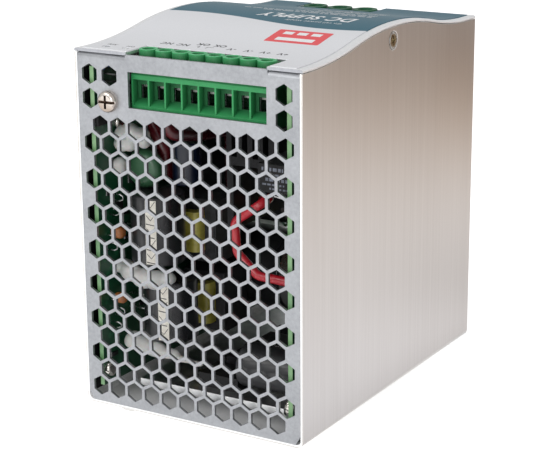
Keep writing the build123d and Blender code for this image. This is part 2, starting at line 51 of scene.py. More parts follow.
def P(x, y, z):
    """Case coordinates in mm (corner of the case, back wall at z=0) to the row frame in metres."""
    return Vector(((x - W / 2) / 1000, (y - L / 2) / 1000, (z + CLIP) / 1000))


# ------------------------------------------------------------------ camera
def camera():
    az, el, roll = math.radians(30.925), math.radians(15.729), math.radians(-0.382)
    right = Vector((math.cos(az), math.sin(az), 0))
    back = Vector((math.sin(az) * math.cos(el), -math.cos(az) * math.cos(el), math.sin(el)))
    up = back.cross(right)
    r0 = right * math.cos(roll) + up * math.sin(roll)
    r1 = -right * math.sin(roll) + up * math.cos(roll)
    cam = bpy.data.cameras.new("camera")
    cam.sensor_width = 36.0
    cam.lens = 1657.30 * 36.0 / 550.0
    cam.clip_start, cam.clip_end = 0.01, 50.0
    o = bpy.data.objects.new("camera", cam)
    COL.objects.link(o)
    m = Matrix((( r0.x, r1.x, back.x), (r0.y, r1.y, back.y), (r0.z, r1.z, back.z))).to_4x4()
    m.translation = P(329.596, -424.056, 212.310)
    o.matrix_world = m
    SC.camera = o


camera()


# ------------------------------------------------------------------ node helpers
class M:
    """A Principled material with object-space coordinates to hand."""

    def __init__(self, name):
        self.mat = bpy.data.materials.new(name)
        self.mat.use_nodes = True
        self.nt = self.mat.node_tree
        self.b = self.nt.nodes["Principled BSDF"]
        self.tc = self.nt.nodes.new("ShaderNodeTexCoord")

    def set(self, **kw):
        for k, v in kw.items():
            self.b.inputs[k.replace("_", " ")].default_value = v
        return self

    def link(self, a, b):
        self.nt.links.new(a, b)

    def coords(self, scale=(1, 1, 1), loc=(0, 0, 0)):
        m = self.nt.nodes.new("ShaderNodeMapping")
        m.inputs["Scale"].default_value = scale
        m.inputs["Location"].default_value = loc
        self.link(self.tc.outputs["Object"], m.inputs["Vector"])
        return m.outputs["Vector"]

    def noise(self, scale=(1, 1, 1), detail=3.0, rough=0.55, loc=(0, 0, 0), distortion=0.0):
        n = self.nt.nodes.new("ShaderNodeTexNoise")
        n.inputs["Scale"].default_value = 1.0
        n.inputs["Detail"].default_value = detail
        n.inputs["Roughness"].default_value = rough
        n.inputs["Distortion"].default_value = distortion
        self.link(self.coords(scale, loc), n.inputs["Vector"])
        return n.outputs["Fac"]

    def voronoi(self, scale=(1, 1, 1), feature="F1"):
        n = self.nt.nodes.new("ShaderNodeTexVoronoi")
        n.feature = feature
        n.inputs["Scale"].default_value = 1.0
        self.link(self.coords(scale), n.inputs["Vector"])
        return n.outputs["Distance"]

    def range(self, s, a, b, lo, hi, kind="LINEAR"):
        r = self.nt.nodes.new("ShaderNodeMapRange")
        r.interpolation_type = kind
        r.inputs["From Min"].default_value = a
        r.inputs["From Max"].default_value = b
        r.inputs["To Min"].default_value = lo
        r.inputs["To Max"].default_value = hi
        self.link(s, r.inputs["Value"])
        return r.outputs["Result"]

    def mix(self, f, c1, c2):
        n = self.nt.nodes.new("ShaderNodeMix")
        n.data_type = "RGBA"
        self.link(f, n.inputs[0])
        for c, sock in ((c1, n.inputs[6]), (c2, n.inputs[7])):
            if isinstance(c, (tuple, list)):
                sock.default_value = (*c, 1.0)
            else:
                self.link(c, sock)
        return n.outputs[2]

    def math(self, op, a, b=None):
        n = self.nt.nodes.new("ShaderNodeMath")
        n.operation = op
        for i, v in enumerate((a, b)):
            if v is None:
                continue
            if isinstance(v, (int, float)):
                n.inputs[i].default_value = v
            else:
                self.link(v, n.inputs[i])
        return n.outputs[0]

    def ramp(self, s, stops):
        n = self.nt.nodes.new("ShaderNodeValToRGB")
        e = n.color_ramp.elements
        while len(e) < len(stops):
            e.new(0.5)
        for k, (p, c) in enumerate(stops):
            e[k].position = p
            e[k].color = (*c, 1.0)
        self.link(s, n.inputs["Fac"])
        return n.outputs["Color"]

    def xyz(self, scale=(1, 1, 1), loc=(0, 0, 0)):
        s = self.nt.nodes.new("ShaderNodeSeparateXYZ")
        self.link(self.coords(scale, loc), s.inputs[0])
        return s.outputs

    def normal_xyz(self):
        g = self.nt.nodes.new("ShaderNodeTexCoord")
        s = self.nt.nodes.new("ShaderNodeSeparateXYZ")
        self.link(g.outputs["Normal"], s.inputs[0])
        return s.outputs

    def color(self, s):
        self.link(s, self.b.inputs["Base Color"])
        return self

    def rough(self, s):
        self.link(s, self.b.inputs["Roughness"])
        return self

    def bump(self, h, strength=0.5, dist=0.0001):
        n = self.nt.nodes.new("ShaderNodeBump")
        n.inputs["Strength"].default_value = strength
        n.inputs["Distance"].default_value = dist
        self.link(h, n.inputs["Height"])
        self.link(n.outputs["Normal"], self.b.inputs["Normal"])
        return self


def simple(name, c1, c2, scale=300.0, metallic=0.0, r=(0.35, 0.5), bump=0.15, dist=0.00005, detail=3.0, **kw):
    m = M(name)
    n = m.noise((scale,) * 3, detail)
    m.color(m.mix(m.range(n, 0.3, 0.7, 0, 1), c1, c2))
    m.rough(m.range(n, 0.3, 0.7, r[0], r[1]))
    if bump:
        m.bump(m.noise((scale * 3,) * 3, 2.0), bump, dist)
    m.set(Metallic=metallic, **kw)
    return m.mat


MAT = {}


def materials():
    # brushed case: the grain runs up the side walls and on across the back
    m = M("brushed_case")
    fine = m.noise((25, 5200, 25), 4.0, 0.6)
    mid = m.noise((7, 900, 7), 3.0, 0.5, loc=(3, 1, 2))
    broad = m.noise((3, 28, 3), 2.0, 0.5, loc=(9, 4, 6))
    grain = m.math("ADD", m.math("MULTIPLY", fine, 0.6), m.math("MULTIPLY", mid, 0.4))
    base = m.mix(m.range(grain, 0.35, 0.65, 0, 1), (0.645, 0.630, 0.612), (0.715, 0.703, 0.688))
    z = m.xyz()[2]
    # painted reflection: the outer colour is multiplied towards a warmer, darker tone towards the top of the walls
    painted_top_reflection = m.mix(m.range(m.math("ADD", z, m.math("MULTIPLY", broad, 0.03)), 0.02, 0.15, 0, 1, "SMOOTHSTEP"), (1.0, 1.0, 1.0), (0.93, 0.905, 0.88))
    mul = m.nt.nodes.new("ShaderNodeMix"); mul.data_type = "RGBA"; mul.blend_type = "MULTIPLY"
    mul.inputs[0].default_value = 1.0
    m.link(base, mul.inputs[6]); m.link(painted_top_reflection, mul.inputs[7])
    x, y, z = m.xyz()
    inside = m.math("MULTIPLY", m.math("LESS_THAN", m.math("ABSOLUTE", x), W / 2000 - 0.0005), m.math("GREATER_THAN", z, (CLIP + 0.5) / 1000))
    # inner faces: partly the unbrushed mill finish, partly painted light: near-white and not metallic, so they stay
    # bright where light comes in through the holes
    mill_and_painted_light = m.mix(m.range(m.noise((400, 400, 400), 3.0), 0.3, 0.7, 0, 1), (0.90, 0.90, 0.91), (0.95, 0.95, 0.95))
    m.color(m.mix(inside, mul.outputs[2], mill_and_painted_light))
    outer = m.range(m.math("ADD", m.math("MULTIPLY", fine, 0.5), m.math("MULTIPLY", broad, 0.5)), 0.3, 0.7, 0.32, 0.40)
    m.rough(m.math("ADD", outer, m.math("MULTIPLY", inside, 0.12)))
    m.bump(grain, 0.35, 0.00003)
    m.link(m.range(inside, 0, 1, 1.0, 0.0), m.b.inputs["Metallic"])
    MAT["brushed_case"] = m.mat

    m = M("case_sheet")
    n = m.noise((900, 900, 900), 4.0, 0.65)
    n2 = m.noise((120, 120, 120), 3.0)
    k = m.math("ADD", m.math("MULTIPLY", n, 0.6), m.math("MULTIPLY", n2, 0.4))
    m.color(m.mix(m.range(k, 0.35, 0.65, 0, 1), (0.304, 0.314, 0.333), (0.412, 0.423, 0.445)))
    m.rough(m.range(k, 0.3, 0.7, 0.36, 0.52))
    m.bump(n, 0.25, 0.00003)
    m.set(Metallic=0.85)
    MAT["case_sheet"] = m.mat

    m = M("cover_sheet")
    n = m.noise((800, 800, 800), 4.0, 0.6)
    k = m.range(n, 0.3, 0.7, 0, 1)
    end = m.range(m.math("ABSOLUTE", m.normal_xyz()[1]), 0.45, 0.75, 0, 1)
    m.color(m.mix(end, m.mix(k, (0.86, 0.87, 0.88), (0.93, 0.93, 0.94)), m.mix(k, (0.34, 0.35, 0.38), (0.45, 0.46, 0.49))))
    m.rough(m.range(n, 0.3, 0.7, 0.32, 0.46))
    m.bump(n, 0.2, 0.00003)
    m.set(Metallic=0.85)
    MAT["cover_sheet"] = m.mat

    # printed film: light grey, blue-grey beyond a wave
    m = M("label_film")
    x, y, zz = m.xyz((1000, 1000, 1000), (W / 2, L / 2, 0))
    wave = m.math("MULTIPLY", m.math("COSINE", m.math("MULTIPLY", m.math("SUBTRACT", x, 14.0), 2 * math.pi / 107.0)), 3.95)
    edge = m.math("SUBTRACT", y, m.math("ADD", wave, 48.25))
    band = m.range(edge, -0.06, 0.06, 0, 1)
    tex = m.noise((2600, 2600, 2600), 2.0)
    grey = m.mix(m.range(tex, 0.3, 0.7, 0, 1), (0.690, 0.699, 0.727), (0.735, 0.744, 0.772))
    blue = m.mix(m.range(tex, 0.3, 0.7, 0, 1), (0.030, 0.116, 0.162), (0.042, 0.138, 0.190))
    m.color(m.mix(band, grey, blue))
    m.rough(m.range(tex, 0.3, 0.7, 0.30, 0.40))
    m.bump(tex, 0.12, 0.00002)
    m.set(Specular_IOR_Level=0.05)
    MAT["label_film"] = m.mat

    # moulded green polyamide, with painted shade in the deep low cells, on the deck and lower tower walls and in the
    # screw wells, and a painted highlight round the tower rims
    m = M("green_plastic")
    n = m.noise((420, 420, 420), 4.0)
    n2 = m.noise((60, 60, 60), 2.0)
    k = m.range(m.math("ADD", m.math("MULTIPLY", n, 0.3), m.math("MULTIPLY", n2, 0.7)), 0.35, 0.65, 0, 1)
    x, y, z = m.xyz()
    # painted shade: darker in the deepest, lowest parts of the cells
    depth_painted_shade = m.range(m.math("ABSOLUTE", y), 0.0567, 0.0603, 1, 0)
    low = m.range(z, 0.1218, 0.1230, 1, 0)
    front = m.mix(k, (0.020, 0.225, 0.068), (0.034, 0.285, 0.094))
    # painted highlight: a lighter green band round the top rim of the towers
    front = m.mix(m.range(z, 0.13075, 0.13095, 0, 0.8), front, (0.085, 0.470, 0.200))
    cell = m.math("SUBTRACT", m.math("FRACT", m.math("ADD", m.math("DIVIDE", m.math("ADD", x, 0.018575), 0.00635), 20.5)), 0.5)
    dx = m.math("MULTIPLY", cell, 0.00635)
    dy = m.math("ADD", y, 0.0550)
    r = m.math("SQRT", m.math("ADD", m.math("MULTIPLY", dx, dx), m.math("MULTIPLY", dy, dy)))
    # painted shade: near-black inside the screw wells
    well_painted_shade = m.math("MULTIPLY", m.range(r, 0.00207, 0.00215, 1, 0), m.range(z, 0.1243, 0.13085, 1, 0))
    # painted shade: the deck and lower tower walls are darker, fading out towards the tower tops
    deck_painted_shade = m.math("MULTIPLY", m.range(z, 0.1243, 0.1246, 0, 1), m.range(z, 0.1285, 0.1309, 1, 0))
    painted_shade = m.math("MAXIMUM", m.math("MULTIPLY", depth_painted_shade, low), m.math("MULTIPLY", deck_painted_shade, 0.85))
    m.color(m.mix(m.math("MULTIPLY", well_painted_shade, 0.95), m.mix(painted_shade, front, (0.008, 0.080, 0.026)), (0.002, 0.020, 0.008)))
    m.rough(m.range(n, 0.3, 0.7, 0.42, 0.56))
    m.bump(m.noise((1800, 1800, 1800), 2.0), 0.18, 0.00004)
    m.set(Subsurface_Weight=0.08, Subsurface_Scale=0.001, Specular_IOR_Level=0.35)
    m.b.inputs["Subsurface Radius"].default_value = (0.3, 1.0, 0.4)
    MAT["green_plastic"] = m.mat
    # painted shade: a darker copy of the green plastic for the input housing at the far end
    MAT["green_far_painted_shade"] = simple("green_far_painted_shade", (0.008, 0.085, 0.034), (0.015, 0.120, 0.050), 300, 0.0, (0.42, 0.58), 0.2, 0.00004, Specular_IOR_Level=0.25)

    # circuit board: solder mask with tracks, pale cut edges
    for side, name in ((0, "board"), (1, "board_flat")):
        m = M(name)
        nx, ny, nz = m.normal_xyz()
        n = m.noise((90, 90, 90), 3.0)
        if side == 0:
            cut = m.range(m.math("ABSOLUTE", nx), 0.5, 0.6, 1, 0)
        else:
            cut = m.range(m.math("ABSOLUTE", ny), 0.5, 0.6, 1, 0)
        tr = m.nt.nodes.new("ShaderNodeTexVoronoi")
        tr.distance = "MANHATTAN"
        tr.feature = "F1"
        tr.inputs["Scale"].default_value = 1.0
        m.link(m.coords((190, 190, 190)), tr.inputs["Vector"])
        track = m.range(tr.outputs["Distance"], 0.28, 0.34, 1, 0)
        mask = m.mix(track, (0.008, 0.068, 0.030), (0.014, 0.115, 0.048))
        fibre = m.mix(m.range(m.noise((30, 700, 30), 3.0), 0.35, 0.65, 0, 1), (0.12, 0.26, 0.115), (0.19, 0.35, 0.165))
        m.color(m.mix(cut, mask, fibre))
        m.rough(m.range(n, 0.3, 0.7, 0.28, 0.42))
        m.bump(track, 0.25, 0.00005)
        m.set(Coat_Weight=0.3, Coat_Roughness=0.2)
        MAT[name] = m.mat

    # painted shade: the terminal clamps are near-black metal, darker than bare zinc, for the shade inside the terminal
    # holes
    MAT["clamp_zinc_painted_dark"] = simple("clamp_zinc_painted_dark", (0.08, 0.09, 0.085), (0.20, 0.215, 0.21), 900, 1.0, (0.22, 0.40), 0.3)
    MAT["nickel"] = simple("nickel", (0.62, 0.59, 0.54), (0.80, 0.77, 0.72), 500, 1.0, (0.16, 0.30), 0.15)
    MAT["yellow_zinc"] = simple("yellow_zinc", (0.56, 0.47, 0.27), (0.76, 0.68, 0.46), 700, 1.0, (0.24, 0.38), 0.15)
    m = M("pan_screw")
    n = m.noise((500, 500, 500), 3.0)
    k = m.range(n, 0.3, 0.7, 0, 1)
    x, y, z = m.xyz()
    dx = m.math("SUBTRACT", m.math("ABSOLUTE", x), 0.0295)
    dz = m.math("SUBTRACT", z, 0.1140)
    r = m.math("SQRT", m.math("ADD", m.math("MULTIPLY", dx, dx), m.math("MULTIPLY", dz, dz)))
    # painted shade: the recess in the middle of the head is near-black
    pit_painted_shade = m.math("MULTIPLY", m.range(r, 0.0031, 0.0034, 1, 0), m.range(m.math("ABSOLUTE", y), 0.06390, 0.06405, 1, 0))
    # painted shade: the head darkens to brown on one side
    painted_shade = m.range(m.math("ADD", dz, m.math("MULTIPLY", dx, -0.6)), -0.0025, 0.0025, 1, 0)
    head = m.mix(m.math("MULTIPLY", painted_shade, 0.6), m.mix(k, (0.54, 0.48, 0.43), (0.70, 0.65, 0.60)), (0.26, 0.18, 0.13))
    m.color(m.mix(pit_painted_shade, head, (0.045, 0.030, 0.022)))
    m.rough(m.range(n, 0.3, 0.7, 0.14, 0.24))
    m.bump(m.noise((1500, 1500, 1500), 2.0), 0.15, 0.00005)
    m.set(Metallic=1.0)
    MAT["pan_screw"] = m.mat

    m = M("side_screw")
    n = m.noise((700, 700, 700), 3.0)
    k = m.range(n, 0.3, 0.7, 0, 1)
    x, y, z = m.xyz()
    dy = m.math("ADD", y, 0.0026)
    dz = m.math("SUBTRACT", z, 0.1308)
    r = m.math("SQRT", m.math("ADD", m.math("MULTIPLY", dy, dy), m.math("MULTIPLY", dz, dz)))
    # painted highlight: the rim of the head is pale blue-white; the gold centre is the yellow passivation, partly
    # darkened as painted shade
    gold = m.mix(k, (0.30, 0.25, 0.15), (0.46, 0.40, 0.26))
    m.color(m.mix(m.range(r, 0.0019, 0.0023, 0, 1), gold, m.mix(k, (0.66, 0.76, 0.80), (0.80, 0.88, 0.90))))
    m.rough(m.range(n, 0.3, 0.7, 0.22, 0.36))
    m.bump(n, 0.15, 0.00005)
    m.set(Metallic=1.0)
    MAT["side_screw"] = m.mat
    MAT["black_film"] = simple("black_film", (0.004, 0.004, 0.004), (0.012, 0.012, 0.013), 150, 0.0, (0.40, 0.60), 0.1, Specular_IOR_Level=0.2)
    MAT["bare_aluminium"] = simple("bare_aluminium", (0.66, 0.67, 0.68), (0.84, 0.84, 0.84), 250, 1.0, (0.28, 0.42), 0.12)
    # painted shade: the heatsink is near-black and not metallic, for the shade in the middle of the case
    MAT["dark_aluminium"] = simple("dark_aluminium", (0.006, 0.006, 0.007), (0.015, 0.015, 0.017), 260, 0.0, (0.42, 0.58), 0.15, Specular_IOR_Level=0.25)
    MAT["black_resin"] = simple("black_resin", (0.006, 0.006, 0.007), (0.015, 0.015, 0.016), 420, 0.0, (0.42, 0.58), 0.3, Specular_IOR_Level=0.3)
    MAT["tinned_brass"] = simple("tinned_brass", (0.16, 0.17, 0.16), (0.30, 0.31, 0.29), 500, 1.0, (0.26, 0.42), 0.2)
    MAT["ferrite"] = simple("ferrite", (0.016, 0.016, 0.018), (0.036, 0.037, 0.040), 700, 0.0, (0.45, 0.62), 0.4, Specular_IOR_Level=0.35)
    MAT["enamelled_wire"] = simple("enamelled_wire", (0.42, 0.14, 0.035), (0.60, 0.24, 0.07), 300, 0.8, (0.22, 0.36), 0.1)
    MAT["fuse_glass"] = simple("fuse_glass", (0.70, 0.74, 0.74), (0.80, 0.84, 0.84), 120, 0.0, (0.05, 0.12), 0.0, Transmission_Weight=0.85)
    m = M("red_silicone")
    n = m.noise((200, 200, 200), 3.0)
    k = m.range(n, 0.3, 0.7, 0, 1)
    dark = m.range(m.xyz()[0], -0.0064, -0.0062, 1, 0)
    # painted shade: the thick sleeves darken further towards +X
    deep_painted_shade = m.range(m.xyz()[0], -0.0190, -0.0140, 0, 1)
    thick = m.mix(deep_painted_shade, m.mix(k, (0.075, 0.004, 0.008), (0.150, 0.010, 0.016)), (0.022, 0.002, 0.004))
    m.color(m.mix(dark, m.mix(k, (0.42, 0.010, 0.022), (0.56, 0.022, 0.036)), thick))
    m.rough(m.range(n, 0.3, 0.7, 0.22, 0.36))
    m.bump(m.noise((500, 500, 500), 2.0), 0.2, 0.00005)
    m.set(Coat_Weight=0.4, Coat_Roughness=0.12)
    MAT["red_silicone"] = m.mat
    MAT["blue_plastic"] = simple("blue_plastic", (0.03, 0.10, 0.32), (0.05, 0.15, 0.42), 400, 0.0, (0.35, 0.5), 0.15)
    MAT["white_plastic"] = simple("white_plastic", (0.70, 0.69, 0.64), (0.80, 0.79, 0.75), 400, 0.0, (0.35, 0.5), 0.15)
    m = M("led_lens")
    n = m.noise((200, 200, 200), 3.0)
    lens = m.mix(m.range(n, 0.3, 0.7, 0, 1), (0.62, 0.64, 0.63), (0.74, 0.76, 0.75))
    # painted shade: the part is near-black below the lens
    m.color(m.mix(m.range(m.xyz()[2], 0.1251, 0.1253, 1, 0), lens, (0.012, 0.013, 0.013)))
    m.rough(m.range(n, 0.3, 0.7, 0.14, 0.26))
    m.bump(n, 0.05, 0.00005)
    MAT["led_lens"] = m.mat
    MAT["zinc_steel"] = simple("zinc_steel", (0.52, 0.54, 0.57), (0.68, 0.70, 0.72), 600, 0.9, (0.30, 0.46), 0.25)
    MAT["spring_steel"] = simple("spring_steel", (0.40, 0.40, 0.41), (0.56, 0.56, 0.57), 500, 1.0, (0.22, 0.36), 0.1)
    MAT["silicone"] = simple("silicone", (0.50, 0.51, 0.50), (0.66, 0.66, 0.64), 90, 0.0, (0.30, 0.50), 0.3, 0.0002, Subsurface_Weight=0.15, Subsurface_Scale=0.002)
    MAT["green_coating"] = simple("green_coating", (0.028, 0.095, 0.045), (0.045, 0.135, 0.066), 160, 0.0, (0.22, 0.36), 0.2, 0.0001, Coat_Weight=0.4)
    MAT["print_white"] = simple("print_white", (0.76, 0.77, 0.78), (0.86, 0.87, 0.88), 2500, 0.0, (0.40, 0.55), 0.05)
    MAT["print_dark"] = simple("print_dark", (0.035, 0.038, 0.042), (0.060, 0.064, 0.070), 2500, 0.0, (0.40, 0.55), 0.05)
    MAT["print_red"] = simple("print_red", (0.72, 0.060, 0.072), (0.80, 0.085, 0.096), 1800, 0.0, (0.36, 0.48), 0.05, Specular_IOR_Level=0.3)
    MAT["print_faint"] = simple("print_faint", (0.11, 0.12, 0.15), (0.20, 0.22, 0.27), 1400, 0.0, (0.40, 0.55), 0.05)
    MAT["stripe_white"] = simple("stripe_white", (0.74, 0.70, 0.62), (0.84, 0.81, 0.74), 900, 0.0, (0.30, 0.45), 0.1)
    MAT["solder"] = simple("solder", (0.52, 0.53, 0.54), (0.72, 0.72, 0.72), 900, 1.0, (0.18, 0.36), 0.3)

    # shrink sleeves with faint waviness; one colour covers each can, flat tops included, though the real tops are bare
    # aluminium inside a rolled sleeve rim
    for name, navy in (("sleeve", False), ("sleeve_out", True)):
        m = M(name)
        n = m.noise((70, 70, 30), 3.0)
        k = m.range(n, 0.3, 0.7, 0, 1)
        cloth = m.mix(k, (0.012, 0.012, 0.014), (0.026, 0.027, 0.030))
        x, y, z = m.xyz()
        if navy:
            small = m.math("GREATER_THAN", z, 0.0815)
            cloth = m.mix(small, cloth, m.mix(k, (0.003, 0.006, 0.018), (0.006, 0.011, 0.030)))
        m.color(cloth)
        m.rough(m.range(n, 0.3, 0.7, 0.24, 0.38))
        m.bump(m.noise((160, 160, 60), 2.0), 0.2, 0.0002)
        m.set(Coat_Weight=0.35, Coat_Roughness=0.2)
        MAT[name] = m.mat

    # layered polyester tape: lap edges run round the winding
    m = M("yellow_tape")
    n = m.noise((160, 160, 160), 3.0)
    lap = m.noise((20, 20, 900), 2.0)
    m.color(m.mix(m.range(m.math("ADD", m.math("MULTIPLY", n, 0.6), m.math("MULTIPLY", lap, 0.4)), 0.35, 0.65, 0, 1), (0.36, 0.31, 0.045), (0.56, 0.50, 0.11)))
    m.rough(m.range(n, 0.3, 0.7, 0.24, 0.42))
    m.bump(lap, 0.5, 0.00012)
    m.set(Coat_Weight=0.25, Coat_Roughness=0.3)
    MAT["yellow_tape"] = m.mat
    m = M("capacitor_box")
    n = m.noise((380, 380, 380), 3.0)
    k = m.range(n, 0.3, 0.7, 0, 1)
    left = m.range(m.xyz()[0], -0.0105, -0.0095, 1, 0)
    m.color(m.mix(left, m.mix(k, (0.42, 0.27, 0.035), (0.54, 0.36, 0.06)), m.mix(k, (0.26, 0.085, 0.022), (0.38, 0.135, 0.036))))
    m.rough(m.range(n, 0.3, 0.7, 0.30, 0.44))
    m.bump(m.noise((1100, 1100, 1100), 2.0), 0.2, 0.00005)
    m.set(Coat_Weight=0.2, Coat_Roughness=0.2)
    MAT["capacitor_box"] = m.mat

    m = M("floor")
    n = m.noise((30, 30, 30), 4.0)
    m.color(m.mix(m.range(n, 0.3, 0.7, 0, 1), (0.90, 0.90, 0.90), (0.93, 0.93, 0.93)))
    m.rough(m.range(n, 0.3, 0.7, 0.75, 0.9))
    m.set(Specular_IOR_Level=0.1, Emission_Strength=0.55)
    m.b.inputs["Emission Color"].default_value = (1, 1, 1, 1)
    MAT["floor"] = m.mat

    # painted reflection: the card glows with a graded colour, pale near the wall and dark warm brown further off, and
    # is only seen mirrored in the brushed wall
    m = M("card")
    x, y, z = m.xyz()
    along = m.math("ADD", y, m.math("MULTIPLY", x, 0.25))
    m.color(m.mix(m.range(m.noise((9, 9, 9)), 0.3, 0.7, 0, 1), (0.01, 0.01, 0.01), (0.02, 0.02, 0.02)))
    far = m.ramp(along, [(0.0, (0.87, 0.855, 0.88)), (0.09, (0.87, 0.84, 0.85)), (0.22, (0.92, 0.88, 0.87)), (0.30, (0.93, 0.88, 0.86)), (0.40, (0.82, 0.72, 0.66)), (0.50, (0.64, 0.49, 0.375)), (0.55, (0.46, 0.29, 0.16)), (0.68, (0.185, 0.085, 0.027)), (0.85, (0.07, 0.02, 0.004))])
    low = m.math("MULTIPLY", m.range(y, 0.07, 0.14, 0, 1), m.range(x, 0.10, 0.15, 1, 0))
    low = m.math("MULTIPLY", m.math("MAXIMUM", low, m.range(x, 0.050, 0.068, 1, 0)), 0.42)
    m.link(m.mix(low, far, (0.30, 0.26, 0.24)), m.b.inputs["Emission Color"])
    m.set(Emission_Strength=1.12, Roughness=1.0, Specular_IOR_Level=0.0)
    MAT["card"] = m.mat


materials()


def dress(node, mat, bevel=0.0, seg=2, angle=35.0):
    o = N[node]
    if not o.material_slots:
        o.data.materials.append(MAT[mat])
    for s in o.material_slots:
        s.material = MAT[mat]
    if bevel:
        w = o.modifiers.new("join", "WELD")
        w.merge_threshold = 0.000002
        b = o.modifiers.new("edge", "BEVEL")
        b.width = bevel / 1000
        b.segments = seg
        b.limit_method = "ANGLE"
        b.angle_limit = math.radians(angle)
        b.harden_normals = True
        b.miter_outer = "MITER_ARC"
        b.use_clamp_overlap = True


PLAN = {
    "side_back_shell": ("brushed_case", 0.12), "output_end_plate": ("case_sheet", 0.12), "input_end_plate": ("case_sheet", 0.12),
    "front_cover": ("cover_sheet", 0.1), "front_label": ("label_film", 0), "side_screws": ("side_screw", 0.06),
    "end_plate_screws": ("pan_screw", 0.10), "end_plate_nuts": ("nickel", 0.1), "side_insulators": ("black_film", 0),
    "left_board": ("board", 0), "right_board": ("board", 0), "terminal_boards": ("board_flat", 0), "board_spacers": ("nickel", 0.1),
    "board_screws": ("nickel", 0), "heat_spreader": ("bare_aluminium", 0.25), "heatsink": ("dark_aluminium", 0.15),
    "power_transistors": ("black_resin", 0.2), "output_terminal_housing": ("green_plastic", 0.10), "input_terminal_housing": ("green_far_painted_shade", 0.10),
    "output_terminal_bars": ("tinned_brass", 0.08), "input_terminal_bars": ("tinned_brass", 0.08), "output_capacitors": ("sleeve_out", 0),
    "bulk_capacitors": ("sleeve", 0), "ferrite_cores": ("ferrite", 0.35), "taped_windings": ("yellow_tape", 0), "green_dipped_disc": ("green_coating", 0),
    "toroid_windings": ("enamelled_wire", 0), "film_capacitors": ("capacitor_box", 0.4), "relay": ("black_resin", 0.35), "input_fuse": ("fuse_glass", 0),
    "red_leads": ("red_silicone", 0), "trimmer_body": ("blue_plastic", 0.12), "status_led": ("led_lens", 0), "din_clip_base": ("zinc_steel", 0.2),
    "din_clip_screws": ("nickel", 0.06), "din_latch_spring": ("spring_steel", 0), "trimmer_rotor": ("white_plastic", 0.06), "din_latch": ("zinc_steel", 0.2),
}
for n in N:
    if n in PLAN:
        dress(n, PLAN[n][0], PLAN[n][1])
    elif "clamp_screw" in n:
        dress(n, "nickel", 0.06)
    else:
        dress(n, "clamp_zinc_painted_dark", 0.10)


# ------------------------------------------------------------------ pieces beyond the CAD nodes
def piece(name, verts, faces, mat, body="case", slot=None, smooth=True):
    me = bpy.data.meshes.new(name)
    me.from_pydata([tuple(v) for v in verts], [], faces)
    me.materials.append(MAT[mat])
    if smooth:
        me.polygons.foreach_set("use_smooth", [True] * len(me.polygons))
    me.update()
    o = bpy.data.objects.new(name, me)
    COL.objects.link(o)
    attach(o, body)
    return o


def zt(y):
    """Height of the cover's outer surface at Y, in case mm."""
    run, rise = L / 2 - FLAT_Y, CREST - END_H
    th = 2 * math.atan(rise / run)
    rad = run / math.sin(th) / 2
    d = min(y, L - y)
    if d < FLAT_Y:
        return END_H
    if d < FLAT_Y + run / 2:
        return END_H + rad - math.sqrt(rad * rad - (d - FLAT_Y) ** 2)
    return CREST - rad + math.sqrt(rad * rad - (d - L / 2) ** 2)


def on_label(x, y, lift=0.02):
    return P(x, y, zt(y) + 0.2 + lift)


def printed(name, bm, mat, lift=0.02):
    """A flat print drawn in case X, Y (mm), cut into strips and laid on the curved film."""
    lo = min(v.co.y for v in bm.verts)
    hi = max(v.co.y for v in bm.verts)
    y = math.floor(lo) + 0.37
    while y < hi:
        bmesh.ops.bisect_plane(bm, geom=bm.verts[:] + bm.edges[:] + bm.faces[:], dist=1e-5, plane_co=(0, y, 0), plane_no=(0, 1, 0))
        y += 1.1
    for v in bm.verts:
        v.co = on_label(v.co.x, v.co.y, lift)
    bm.normal_update()
    for f in bm.faces:
        if f.normal.z < 0:
            f.normal_flip()
    me = bpy.data.meshes.new(name)
    bm.to_mesh(me)
    bm.free()
    me.materials.append(MAT[mat])
    o = bpy.data.objects.new(name, me)
    COL.objects.link(o)
    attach(o, "case")
    return o


def words(text, cx, cy, size, stretch=1.0, shear=0.0, turned=True, bold=0.0):
    """Lettering as a flat bmesh in case X, Y, centred on cx, cy; turned reads from the far end."""
    cu = bpy.data.curves.new("w", "FONT")
    cu.body = text
    cu.size = size
    cu.align_x = "CENTER"
    cu.align_y = "CENTER"
    cu.shear = shear
    cu.offset = bold
    cu.resolution_u = 3
    cu.space_character = 1.08
    o = bpy.data.objects.new("w", cu)
    COL.objects.link(o)
    bpy.context.view_layer.update()
    me = bpy.data.meshes.new_from_object(o.evaluated_get(bpy.context.evaluated_depsgraph_get()))
    bm = bmesh.new()
    bm.from_mesh(me)
    bpy.data.objects.remove(o)
    bpy.data.curves.remove(cu)
    bpy.data.meshes.remove(me)
    s = -1 if turned else 1
    for v in bm.verts:
        v.co = Vector((cx + s * v.co.x * stretch, cy + s * v.co.y, 0))
    return bm


def boxes(rects, r=0.0):
    """Rectangles (x0, x1, y0, y1) in case mm as a flat bmesh, with corner radius r."""
    bm = bmesh.new()
    for x0, x1, y0, y1 in rects:
        if r:
            pts = []
            for cx, cy, a0 in ((x1 - r, y1 - r, 0), (x0 + r, y1 - r, 90), (x0 + r, y0 + r, 180), (x1 - r, y0 + r, 270)):
                for k in range(5):
                    a = math.radians(a0 + 22.5 * k)
                    pts.append((cx + r * math.cos(a), cy + r * math.sin(a), 0))
        else:
            pts = [(x0, y0, 0), (x1, y0, 0), (x1, y1, 0), (x0, y1, 0)]
        bm.faces.new([bm.verts.new(p) for p in pts])
    return bm


